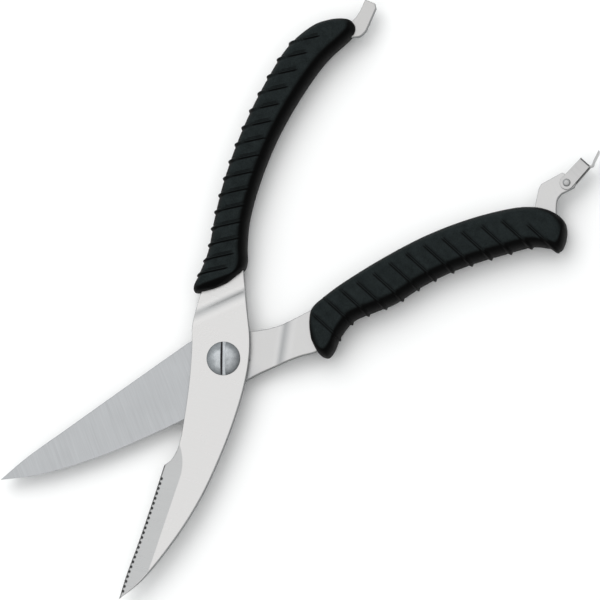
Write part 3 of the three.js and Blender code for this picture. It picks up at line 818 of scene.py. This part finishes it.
def rib_places(chords, ribs):
    """Where each rib starts on the grip's outer side."""
    outer = spline([chord[ribs["side"]] for chord in chords], np.linspace(0, 1, 2000))
    number = np.arange(ribs["count"])
    wanted = ribs["first"] + ribs["pitch"] * number + ribs["growth"] * number**2
    order = np.argsort(outer[:, 1])
    return np.stack([np.interp(wanted, outer[order, 1], outer[order, 0]), wanted], axis=1)


def beside_rib(points, place, ribs):
    """How far along a rib the points are, how far beside it, and how fully the rib stands there."""
    ahead, side = directions(math.radians(ribs["angle"]))
    along = (points - place) @ ahead
    across = np.abs((points - place) @ side)
    fade = np.clip((ribs["length"] - along) / RIB_FADE, 0, 1) * np.clip(along + 3, 0, 1)
    return along, across, fade


def rib_rise(points, places, ribs):
    """How far the ribs and the fine grooves beside them lift or sink a grip's skin."""
    rise = np.zeros(len(points))
    for place in places:
        along, across, fade = beside_rib(points, place, ribs)
        knob = 1 / (1 + np.exp((along - RIB_KNOB) / 0.5))
        width = RIB_WIDTH + RIB_KNOB_WIDTH * knob
        height = (RIB_HEIGHT + RIB_KNOB_HEIGHT * knob) * fade
        ridge = np.clip(1 - (across / width) ** 2, 0, 1) ** 2
        groove = np.exp(-(((across - 1.35 * width) / 0.25) ** 2))
        rise += height * ridge - RIB_GROOVE * fade * groove * (1 - 0.5 * knob)
    return rise


def rib_painted_shade(places, ribs):
    """Painted shade beside each rib, as a thin line at either foot, where its grooves lie in shadow."""
    def dark(points):
        lines = np.zeros(len(points))
        for place in places:
            _, across, fade = beside_rib(points[:, :2], place, ribs)
            lines = np.maximum(lines, fade * np.exp(-(((across - 0.42) / 0.26) ** 2)))
        return 0.8 * lines

    return dark


def grip_stations(chords):
    """Curve parameters that step finely along the grip and finer still over its rounded ends."""
    t = np.linspace(0, 1, 3000)
    left = spline([chord[0] for chord in chords], t)
    right = spline([chord[1] for chord in chords], t)
    along = lengths_along((left + right) / 2)
    ends = GRIP_END_R * (1 - np.cos(np.radians(np.arange(0, 90, 7.5))))
    middle = np.arange(GRIP_END_R, along[-1] - GRIP_END_R, 0.22)
    wanted = np.concatenate([ends, middle, along[-1] - ends[::-1]])
    return np.interp(wanted, along, t)


def grip_section(half_width, half_height):
    """Rounded section: places across and up, and the outward direction at each."""
    rx = min(GRIP_CORNER[0], half_width * 0.9)
    rz = min(GRIP_CORNER[1], half_height * 0.9)

    def on_corner(number, degrees):
        sx, sz = ((1, 1), (-1, 1), (-1, -1), (1, -1))[number % 4]
        x, z = math.cos(math.radians(degrees)), math.sin(math.radians(degrees))
        place = np.array([sx * (half_width - rx) + x * rx, sz * (half_height - rz) + z * rz])
        return place, (x / rx, z / rz)

    places = []
    normals = []
    for number in range(4):
        for degrees in np.linspace(90 * number, 90 * number + 90, 10):
            here, normal = on_corner(number, degrees)
            places.append(here)
            normals.append(normal)
        there = on_corner(number + 1, degrees)[0]
        panel_points = 30 if number % 2 == 0 else 4
        for w in np.linspace(0, 1, panel_points)[1:-1]:
            places.append(here + w * (there - here))
            normals.append(normal)
    return np.array(places), unit(np.array(normals))


def grip_shape(chords, ribs):
    """Lofted grip with its finger ribs raised out of the skin."""
    stations = grip_stations(chords)
    left = spline([chord[0] for chord in chords], stations)
    right = spline([chord[1] for chord in chords], stations)
    middles = (left + right) / 2
    places = rib_places(chords, ribs)
    rows = []
    for a, b, middle in zip(left, right, middles):
        from_end = min(np.linalg.norm(middle - middles[0]), np.linalg.norm(middle - middles[-1]))
        short = GRIP_END_R - min(from_end, GRIP_END_R)
        half_height = GRIP_T / 2 - GRIP_END_R + math.sqrt(GRIP_END_R**2 - short**2)
        section, normals = grip_section(np.linalg.norm(b - a) / 2, half_height)
        across = unit(b - a)
        flat = middle + section[:, :1] * across
        rise = rib_rise(flat, places, ribs)[:, None]
        flat = flat + normals[:, :1] * across * rise
        rows.append(np.column_stack([flat, MID_Z + section[:, 1:] + normals[:, 1:] * rise]))
    return Shape().tube(rows)


# ---------------------------------------------------------------- latch


def latch_side_rim():
    """Outline of a side plate: round about the rivet, and narrower towards its end."""
    half_round = circle(LATCH_HALF_WIDTH, count=40, start=math.pi, sweep=math.pi * 41 / 40)
    right = even([(LATCH_HALF_WIDTH, 0.4), (LATCH_END_HALF_WIDTH, LATCH_PLATE_END)], 0.5)
    left = even([(-LATCH_END_HALF_WIDTH, LATCH_PLATE_END), (-LATCH_HALF_WIDTH, 0)], 0.5)
    return np.vstack([half_round, right, left[:-1]])


def lever_rim():
    """Outline, seen on edge, of the strip that makes the end bridge and the thumb lever."""
    bridge_y = LATCH_REACH - BRIDGE_SHEET / 2
    angles = np.radians(np.linspace(270, 375, 8))
    bend = [
        (LEVER_BEND_AT + LEVER_BEND_R * math.cos(a), bridge_y + LEVER_BEND_R + LEVER_BEND_R * math.sin(a))
        for a in angles
    ]
    bridge = even([(-LATCH_END_HALF_WIDTH, bridge_y), (LEVER_BEND_AT, bridge_y)], 0.4)
    line = np.vstack([bridge[:-1], even([*bend, *LEVER], 0.25)])
    along = unit(np.gradient(line, axis=0))
    thins = [LATCH_REACH, LATCH_REACH + 2.5]
    half_sheet = np.interp(line[:, 1], thins, [BRIDGE_SHEET / 2, LEVER_SHEET / 2])
    side = left_of(along) * half_sheet[:, None]
    tip_angle = math.atan2(along[-1][1], along[-1][0])
    tip = circle(LEVER_SHEET / 2, line[-1], 9, tip_angle - math.pi / 2, math.pi * 9 / 8)[1:-1]
    return np.vstack([line - side, tip, (line + side)[::-1]])


def latch_shape():
    """Stirrup: two plates either side of the arm, an end bridge that joins them, and the thumb lever."""
    low = corner("latch", 0)[2]
    high = corner("latch", 1)[2]
    rim = latch_side_rim()
    hole = circle(RIVET_SHANK_R + 0.08, count=36)
    rounding = constant(LATCH_ROUNDING)
    inner = grid(np.arange(-2.4, 2.41, 0.4), np.arange(-2.4, LATCH_PLATE_END, 0.4))
    shape = Shape()
    for top, bottom in ((low + LATCH_SHEET, low), (high, high - LATCH_SHEET)):
        shape.join(plate(rim, [hole], constant(top), constant(bottom), rounding, inner, inner))
    shape.join(plate(lever_rim(), [], constant(high - 0.02), constant(low + 0.02), rounding))
    return shape


def latch_painted_shade(points):
    """Painted shade on the cut edges of the latch's end bridge and side plates, where their walls and the
    gap beside them lie in shadow.
    """
    x, y = np.abs(points[:, 0]), points[:, 1]
    near_bridge = np.abs(y - LATCH_REACH + BRIDGE_SHEET / 2) < BRIDGE_SHEET / 2 + LATCH_ROUNDING / 2
    on_bridge = near_bridge & (points[:, 0] < 2.2)
    half_width = np.interp(y, [0, LATCH_REACH], [LATCH_HALF_WIDTH, LATCH_END_HALF_WIDTH])
    from_middle = np.where(y < 0, np.hypot(x, y), x)
    on_rim = (from_middle > half_width - LATCH_ROUNDING / 2) & (y < LATCH_REACH - BRIDGE_SHEET)
    return 0.85 * (on_bridge | on_rim)


def rivet_shape():
    """Rivet with a low domed head at each end."""
    low = corner("latch_rivet", 0)[2]
    high = corner("latch_rivet", 1)[2]
    inner_low = low + RIVET_HEAD_T
    inner_high = high - RIVET_HEAD_T
    dome = [
        (RIVET_HEAD_R * math.cos(a), RIVET_HEAD_RIM + (RIVET_HEAD_T - RIVET_HEAD_RIM) * math.sin(a))
        for a in np.radians(np.arange(0, 89, 8))
    ]
    profile = [(0, low)]
    profile += [(r, inner_low - z) for r, z in dome[::-1]]
    profile += [(RIVET_HEAD_R, inner_low), (RIVET_SHANK_R, inner_low)]
    profile += [(RIVET_SHANK_R, inner_high), (RIVET_HEAD_R, inner_high)]
    profile += [(r, inner_high + z) for r, z in dome]
    profile += [(0, high)]
    return lathe(profile, 64)


# ---------------------------------------------------------------- materials


PAINTED_SHADE_STEEL = (0.025, 0.026, 0.027)  # steel where the mesh is marked with painted shade
# painted shade: near black where the rubber rounds away from the light and beside its ribs
RUBBER_SHADE = (0.0005, 0.0006, 0.0006)
STREAKS = (0.38, 0.62)  # range of the mixed noises in ground steel
GRAIN = (0.36, 0.66)  # range of the mixed noises in rubber


class Nodes:
    """Short ways to add and join the nodes of a material or a world."""

    def __init__(self, owner, shader="Principled BSDF"):
        owner.use_nodes = True
        self.owner = owner
        self.tree = owner.node_tree
        self.shader = self.tree.nodes[shader]
        self.coordinates = self.add("ShaderNodeTexCoord").outputs
        self.places = self.coordinates["Object"]

    def add(self, kind, **values):
        """A new node; each value sets the node's property or its input of that name."""
        node = self.tree.nodes.new(kind)
        for key, value in values.items():
            if hasattr(node, key):
                setattr(node, key, value)
            else:
                node.inputs[key.replace("_", " ")].default_value = value
        return node

    def feed(self, socket, value):
        """Gives a socket a number, a colour or another node's output."""
        if isinstance(value, (int, float)):
            socket.default_value = value
        elif isinstance(value, tuple):
            socket.default_value = (*value, 1)
        else:
            self.tree.links.new(value, socket)

    def shade(self, **values):
        """Feeds inputs of the owner's shader."""
        for key, value in values.items():
            self.feed(self.shader.inputs[key.replace("_", " ")], value)

    def through(self, node, value, entry, output):
        """Feeds a value into one input of a node and gives one of its outputs."""
        self.feed(node.inputs[entry], value)
        return node.outputs[output]

    def mapped(self, turn, scale):
        """Object places in metres, turned about Z and scaled by a number for each axis."""
        turned_node = self.add("ShaderNodeMapping", vector_type="POINT", Rotation=(0, 0, -turn))
        scaled_node = self.add("ShaderNodeMapping", vector_type="POINT", Scale=scale)
        places = self.through(turned_node, self.places, "Vector", "Vector")
        return self.through(scaled_node, places, "Vector", "Vector")

    def noise(self, places, scale, detail=3.0, roughness=0.55):
        node = self.add("ShaderNodeTexNoise", Scale=scale, Detail=detail, Roughness=roughness)
        return self.through(node, places, "Vector", "Fac")

    def spread(self, value, low, high, start=0.3, end=0.7):
        node = self.add("ShaderNodeMapRange", From_Min=start, From_Max=end, To_Min=low, To_Max=high)
        return self.through(node, value, "Value", "Result")

    def maths(self, operation, a, b):
        node = self.add("ShaderNodeMath", operation=operation)
        self.feed(node.inputs[0], a)
        self.feed(node.inputs[1], b)
        return node.outputs["Value"]

    def total(self, *parts):
        """Sum of outputs, each with its share."""
        out = 0.0
        for value, share in parts:
            out = self.maths("ADD", out, self.maths("MULTIPLY", value, share))
        return out

    def colours(self, value, low, high):
        """Colour from `low` at 0 to `high` at 1; each of them is a colour or another node's output."""
        node = self.add("ShaderNodeMix", data_type="RGBA")
        sockets = [socket for socket in node.inputs if socket.type == "RGBA"]
        self.feed(sockets[0], low)
        self.feed(sockets[1], high)
        self.feed(node.inputs["Factor"], value)
        return next(socket for socket in node.outputs if socket.type == "RGBA")

    def axes(self, vector):
        split = self.add("ShaderNodeSeparateXYZ")
        self.feed(split.inputs["Vector"], vector)
        return [split.outputs[axis] for axis in "XYZ"]

    def facing(self, way, away, towards):
        """0 where the skin turns from the direction `way`, 1 where it faces it, the same above and below."""
        x, y, z = self.axes(self.add("ShaderNodeNewGeometry").outputs["Normal"])
        upright = self.maths("ABSOLUTE", z, 0.0)
        total = self.total((x, way[0]), (y, way[1]), (upright, way[2]))
        return self.spread(total, 0, 1, away, towards)

    def flatness(self, wall, face):
        """0 where the surface stands steeper than `wall`, 1 where it lies flatter than `face`."""
        return self.facing((0.0, 0.0, 1.0), wall, face)

    def marked(self, colour, dark):
        """The colour, turned `dark` where the mesh is marked with painted shade."""
        mark = self.add("ShaderNodeAttribute", attribute_name="dark")
        return self.colours(mark.outputs["Fac"], colour, dark)

    def metal(self, colour, cut_edge_and_shade, roughness):
        """Metal whose steep sides of the sheet take the cut-edge colour, partly their duller cut finish and
        partly painted shade, and painted shade where the mesh is marked so.
        """
        sided = self.colours(self.flatness(0.25, 0.6), cut_edge_and_shade, colour)
        self.shade(Base_Color=self.marked(sided, PAINTED_SHADE_STEEL), Roughness=roughness, Metallic=1.0)

    def bump(self, height, strength, distance):
        node = self.add("ShaderNodeBump", Strength=strength, Distance=distance)
        self.shade(Normal=self.through(node, height, "Height", "Normal"))


def satin_steel(name, turn, face, tang, tang_starts, rough, line_strength, cut_edge_and_shade=(0.16, 0.17, 0.17)):
    """Stainless steel ground in one direction: fine lines along `turn`, with slow cloudy variation.

    `face` and `tang` are the dark and light greys of the blade's face and of its tang.
    """
    n = Nodes(bpy.data.materials.new(name))
    lines = n.noise(n.mapped(turn, (90, 3600, 90)), scale=1.0, detail=2.0)
    coarse = n.noise(n.mapped(turn, (30, 900, 30)), scale=1.0, detail=2.0)
    cloud = n.noise(n.places, scale=55.0, detail=2.0)
    mixed = n.total((lines, 0.4), (coarse, 0.3), (cloud, 0.3))
    streaks = n.spread(mixed, 0, 1, *STREAKS)
    on_tang = n.spread(n.axes(n.places)[1], 0, 1, tang_starts - 0.006, tang_starts + 0.006)
    colour = n.colours(on_tang, n.colours(streaks, *face), n.colours(streaks, *tang))
    n.metal(colour, cut_edge_and_shade, n.spread(mixed, rough - 0.04, rough + 0.05, *STREAKS))
    n.bump(n.total((lines, 1.0), (coarse, 0.6)), line_strength, distance=0.00002)
    return n.owner


def turned_steel(name, light, dark, rough):
    """Polished, slightly blue steel with faint turning rings about the pivot, soft blotches, and painted
    shade on its steep rim.
    """
    n = Nodes(bpy.data.materials.new(name))
    length = n.add("ShaderNodeVectorMath", operation="LENGTH")
    from_axis = n.through(length, n.mapped(0.0, (1, 1, 0)), 0, "Value")
    ring = n.through(n.add("ShaderNodeCombineXYZ"), from_axis, "X", "Vector")
    rings = n.noise(ring, scale=5200.0, detail=1.0)
    blotches = n.noise(n.places, scale=420.0, detail=2.0)
    # Painted shade: the steep rim and sides are coloured darker, standing for the dim surround they reflect.
    rim = tuple(0.62 * level for level in dark)
    face = n.colours(n.spread(blotches, 0, 1), dark, light)
    colour = n.colours(n.flatness(0.84, 0.96), rim, face)
    n.metal(colour, rim, n.spread(blotches, rough - 0.05, rough + 0.07))
    n.bump(n.total((rings, 0.15), (blotches, 1.0)), strength=0.5, distance=0.00012)
    return n.owner


def wire_steel(name):
    """Bright drawn spring wire with a slightly mottled grey surface."""
    n = Nodes(bpy.data.materials.new(name))
    mottle = n.noise(n.places, scale=900.0)
    colour = n.colours(n.spread(mottle, 0, 1), (0.2, 0.2, 0.21), (0.42, 0.42, 0.43))
    n.shade(Base_Color=colour, Roughness=n.spread(mottle, 0.24, 0.42), Metallic=1.0)
    n.bump(mottle, strength=0.25, distance=0.00003)
    return n.owner


def grip_rubber(name):
    """Matt black moulded rubber with a fine grain, and painted shade, near black, where it rounds away from
    above and from the upper left.
    """
    n = Nodes(bpy.data.materials.new(name))
    grain = n.noise(n.places, scale=2600.0, roughness=0.7)
    dust = n.noise(n.places, scale=260.0, detail=4.0, roughness=0.65)
    pebble = n.add("ShaderNodeTexVoronoi", feature="F1", Scale=1500.0)
    pebbles = n.through(pebble, n.places, "Vector", "Distance")
    fine = n.total((grain, 0.6), (dust, 0.4))
    panel = n.colours(n.spread(fine, 0, 1, *GRAIN), (0.004, 0.0062, 0.0064), (0.0165, 0.0215, 0.022))
    # Painted shade: the skin that turns away from above and from the upper left is painted near black.
    colour = n.colours(n.facing((-0.42, 0.1, 0.9), 0.68, 0.9), RUBBER_SHADE, panel)
    n.shade(Base_Color=n.marked(colour, RUBBER_SHADE), Roughness=n.spread(fine, 0.5, 0.68, *GRAIN))
    n.shade(Specular_IOR_Level=0.06)
    n.bump(n.total((pebbles, 0.7), (grain, 1.0)), strength=0.35, distance=0.00006)
    return n.owner


def floor_material():
    n = Nodes(bpy.data.materials.new("floor_paper"))
    cloud = n.noise(n.places, scale=6.0, detail=2.0)
    colour = n.colours(cloud, (0.93, 0.93, 0.925), (0.95, 0.95, 0.945))
    n.shade(Base_Color=colour, Roughness=0.9, Specular_IOR_Level=0.1)
    return n.owner


# ---------------------------------------------------------------- stage

FLOOR_HALF = 6.0  # metres

# The camera looks at the shears lying on their back, the plain blade's tip to the left.
PICTURE_TURN = math.radians(42.4)
CAMERA_LEAN = math.radians(10)
AIM_RIGHT = 29.87  # from the pivot to the picture's middle
AIM_UP = 22.8
VIEW_WIDTH = 234.0
SENSOR = 36
LENS = 600

SKY_STRENGTH = 1.4
SKY_SLOPE = -0.5  # change of the sky's strength towards +X, as a share of it
SKY_STOPS = [(0.0, 0.28), (0.35, 0.4), (0.63, 0.56), (0.93, 1.0)]


def floor():
    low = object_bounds()[0].z
    mesh = bpy.data.meshes.new("floor")
    corners = [(x * FLOOR_HALF, y * FLOOR_HALF, low) for x, y in ((-1, -1), (1, -1), (1, 1), (-1, 1))]
    mesh.from_pydata(corners, [], [(0, 1, 2, 3)])
    mesh.materials.append(floor_material())
    thing = new_object("floor", mesh)
    thing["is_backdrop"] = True


def camera_axes():
    """Right, up and back directions of the camera in the part's frame."""
    lean_way = np.array([1, -1, 0]) / math.sqrt(2)
    side_way = np.array([1, 1, 0]) / math.sqrt(2)
    leaned = lean_way * math.cos(CAMERA_LEAN) - UP * math.sin(CAMERA_LEAN)
    right = (leaned + side_way) / math.sqrt(2)
    up = (side_way - leaned) / math.sqrt(2)
    back = lean_way * math.sin(CAMERA_LEAN) + UP * math.cos(CAMERA_LEAN)
    return turned(np.array([right, up, back]), PICTURE_TURN)


def camera():
    """Long lens that frames the open shears as they fill a square picture."""
    right, up, back = camera_axes()
    aim = np.array([0, 0, FRONT_TOP]) + AIM_RIGHT * right + AIM_UP * up
    data = bpy.data.cameras.new("camera")
    data.sensor_width = SENSOR
    data.lens = LENS
    data.clip_start = 0.1
    data.clip_end = 50
    distance = VIEW_WIDTH * LENS / SENSOR
    place = (aim + back * distance) * MM
    axes = Matrix([list(right), list(up), list(back)]).transposed().to_4x4()
    thing = new_object("camera", data)
    thing.matrix_world = Matrix.Translation(Vector(place)) @ axes
    bpy.context.scene.camera = thing


def key_light(distance=2.2):
    """Large soft lamp above the picture's top, kept out of the steel's reflections."""
    right, up, _ = camera_axes()
    data = bpy.data.lights.new("key", "AREA")
    data.shape = "DISK"
    data.size = 1.8
    data.energy = 14
    away = Vector(-right * 0.35 + up * 0.95 + UP * 1.2).normalized()
    thing = new_object("key", data)
    thing.location = away * distance
    thing.rotation_euler = away.to_track_quat("Z", "Y").to_euler()
    thing.visible_glossy = False


def sky():
    """Soft studio surround: bright overhead, dimmer towards the floor and towards +X."""
    world = bpy.data.worlds.new("studio")
    bpy.context.scene.world = world
    n = Nodes(world, "Background")
    x, _, z = n.axes(n.coordinates["Generated"])
    ramp = n.add("ShaderNodeValToRGB")
    elements = ramp.color_ramp.elements
    ramp.color_ramp.interpolation = "EASE"
    while len(elements) < len(SKY_STOPS):
        elements.new(0.5)
    for element, (height, value) in zip(elements, SKY_STOPS):
        cool = 0.06 * (1 - value)
        element.position = height
        element.color = (value * (1 - cool), value, value * (1 + 0.5 * cool), 1)
    strength = n.total((x, SKY_SLOPE * SKY_STRENGTH), (1.0, SKY_STRENGTH))
    n.shade(Color=n.through(ramp, z, "Fac", "Color"), Strength=strength)


# ---------------------------------------------------------------- the shears


def greys(dark, light, warmth=0.0):
    """A dark and a light grey, a touch warmer in tone for a positive `warmth`."""
    return tuple((level * (1 + warmth), level, level * (1 - warmth)) for level in (dark, light))


def blades():
    lean = math.radians(8)
    front = satin_steel("satin_steel_front", HALF_TURN + lean, face=greys(0.487, 0.512, 0.008),
                        tang=greys(0.4, 0.42, 0.008), tang_starts=0.06, rough=0.3, line_strength=0.02)
    rear = satin_steel("ground_steel_rear", -HALF_TURN - lean, face=greys(0.33, 0.39, -0.025),
                       tang=greys(0.44, 0.465, 0.004), tang_starts=0.002, rough=0.33, line_strength=0.1)
    piece(serrated_blade_shape(), "serrated_half", "serrated_blade", "blade_steel", front,
          turn=HALF_TURN, sharp=18, dark=serrated_edge_painted_shade)
    piece(plain_blade_shape(), "plain_half", "plain_blade", "blade_steel", rear,
          turn=-HALF_TURN, sharp=18)


def pivot():
    polished = turned_steel("turned_steel", (0.43, 0.45, 0.465), (0.27, 0.285, 0.295), 0.19)
    piece(screw_shape(), "serrated_half", "pivot_screw", "pivot_steel", polished, dark=slot_painted_shadow)
    piece(nut_shape(), "serrated_half", "pivot_nut", "pivot_steel", polished)
    wire = wire_steel("spring_wire")
    spring = piece(spring_shape(), None, "pivot_spring", "spring_steel", wire)
    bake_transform(spring)


def grips():
    rubber = grip_rubber("grip_rubber")
    for half, chords, ribs, turn in (("serrated", SERRATED_GRIP, SERRATED_RIBS, HALF_TURN),
                                     ("plain", PLAIN_GRIP, PLAIN_RIBS, -HALF_TURN)):
        dark = rib_painted_shade(rib_places(chords, ribs), ribs)
        piece(grip_shape(chords, ribs), f"{half}_half", f"{half}_grip", "grip_rubber", rubber,
              turn=turn, sharp=50, dark=dark)


def latch():
    turn = LATCH_ANGLE - HALF_TURN
    at = (RIVET_PLACE[0], RIVET_PLACE[1], 0)
    pressed = greys(0.36, 0.44, 0.004)
    headed = greys(0.3, 0.38)
    sheet = satin_steel("latch_steel", turn, pressed, pressed, tang_starts=0.0, rough=0.32,
                        line_strength=0.12, cut_edge_and_shade=(0.42, 0.42, 0.415))
    piece(latch_shape(), "latch_stirrup", "latch", "latch_steel", sheet,
          turn=turn, at=at, sharp=25, dark=latch_painted_shade)
    head = satin_steel("rivet_steel", 0.0, headed, headed, tang_starts=0.0, rough=0.25, line_strength=0.05)
    piece(rivet_shape(), "plain_half", "latch_rivet", "latch_steel", head, turn=turn, at=at)


blades()
pivot()
grips()
latch()
floor()
camera()
sky()
key_light()
bpy.context.scene.view_settings.view_transform = "Standard"
